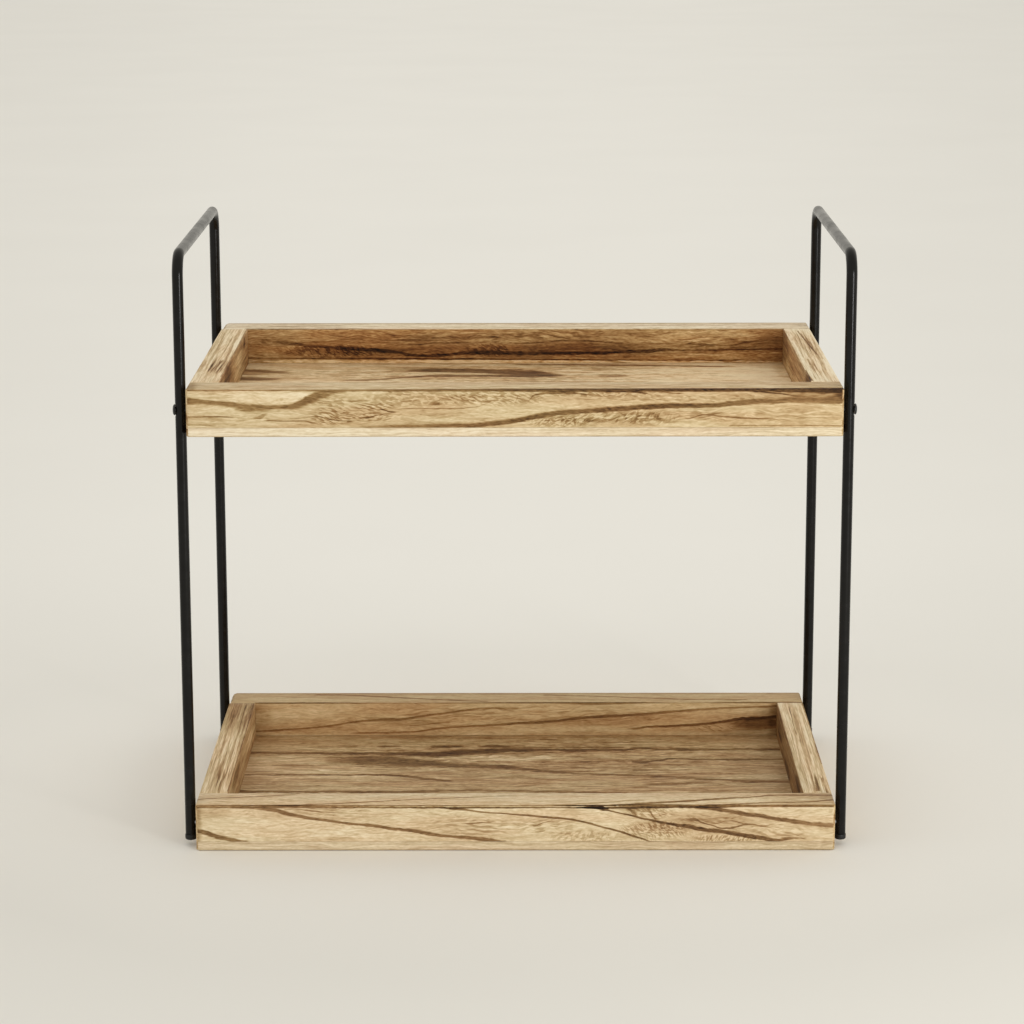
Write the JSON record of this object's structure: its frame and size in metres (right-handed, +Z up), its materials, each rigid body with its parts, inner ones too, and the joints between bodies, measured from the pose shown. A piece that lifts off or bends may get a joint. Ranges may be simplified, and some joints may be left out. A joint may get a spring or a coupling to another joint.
{
  "type": "two-tier countertop shelf",
  "caption": "Countertop shelf with an upper and a lower open wooden tray carried between two upright bent-rod frames that rise above the upper tray as hand-holds.",
  "frame": {"origin": "on the bench, at the middle of the lower tray's underside", "axes": "+X along the trays towards the right end as seen from the front, +Y from the front towards the rear, +Z up"},
  "size_m": [0.3714, 0.232, 0.334],
  "materials": {
    "torched_wood": "pale straw softwood, surface torched so that the grain stands out in brown bands, then brushed and lacquered matt",
    "panel_wood": "same softwood as the rails, torched and brushed on top, pale and plain on its edges",
    "dowel_wood": "plain beech, hidden in the joints",
    "black_frame": "satin black powder coat on steel rod",
    "black_screw": "black zinc, slightly shiny",
    "black_plastic": "matt black moulded plastic",
    "pin_steel": "plain steel, hidden in the joints",
    "nail_steel": "bright zinc plated steel"
  },
  "bodies": {
    "root": {"upper_tray_front_rail": "torched_wood", "upper_tray_rear_rail": "torched_wood", "upper_tray_left_end_rail": "torched_wood", "upper_tray_right_end_rail": "torched_wood", "upper_tray_floor_panel": "panel_wood", "upper_tray_front_left_dowel": "dowel_wood", "upper_tray_front_right_dowel": "dowel_wood", "upper_tray_rear_left_dowel": "dowel_wood", "upper_tray_rear_right_dowel": "dowel_wood", "upper_tray_front_left_nail": "nail_steel", "upper_tray_front_middle_nail": "nail_steel", "upper_tray_front_right_nail": "nail_steel", "upper_tray_rear_left_nail": "nail_steel", "upper_tray_rear_middle_nail": "nail_steel", "upper_tray_rear_right_nail": "nail_steel", "upper_tray_left_end_nail": "nail_steel", "upper_tray_right_end_nail": "nail_steel", "lower_tray_front_rail": "torched_wood", "lower_tray_rear_rail": "torched_wood", "lower_tray_left_end_rail": "torched_wood", "lower_tray_right_end_rail": "torched_wood", "lower_tray_floor_panel": "panel_wood", "lower_tray_front_left_dowel": "dowel_wood", "lower_tray_front_right_dowel": "dowel_wood", "lower_tray_rear_left_dowel": "dowel_wood", "lower_tray_rear_right_dowel": "dowel_wood", "lower_tray_front_left_nail": "nail_steel", "lower_tray_front_middle_nail": "nail_steel", "lower_tray_front_right_nail": "nail_steel", "lower_tray_rear_left_nail": "nail_steel", "lower_tray_rear_middle_nail": "nail_steel", "lower_tray_rear_right_nail": "nail_steel", "lower_tray_left_end_nail": "nail_steel", "lower_tray_right_end_nail": "nail_steel", "left_frame": "black_frame", "right_frame": "black_frame", "left_front_upper_screw": "black_screw", "right_front_upper_screw": "black_screw", "left_rear_upper_pin": "pin_steel", "right_rear_upper_pin": "pin_steel", "left_front_lower_pin": "pin_steel", "left_rear_lower_pin": "pin_steel", "right_front_lower_pin": "pin_steel", "right_rear_lower_pin": "pin_steel", "left_front_leg_cap": "black_plastic", "left_rear_leg_cap": "black_plastic", "right_front_leg_cap": "black_plastic", "right_rear_leg_cap": "black_plastic"}
  },
  "joints": []
}
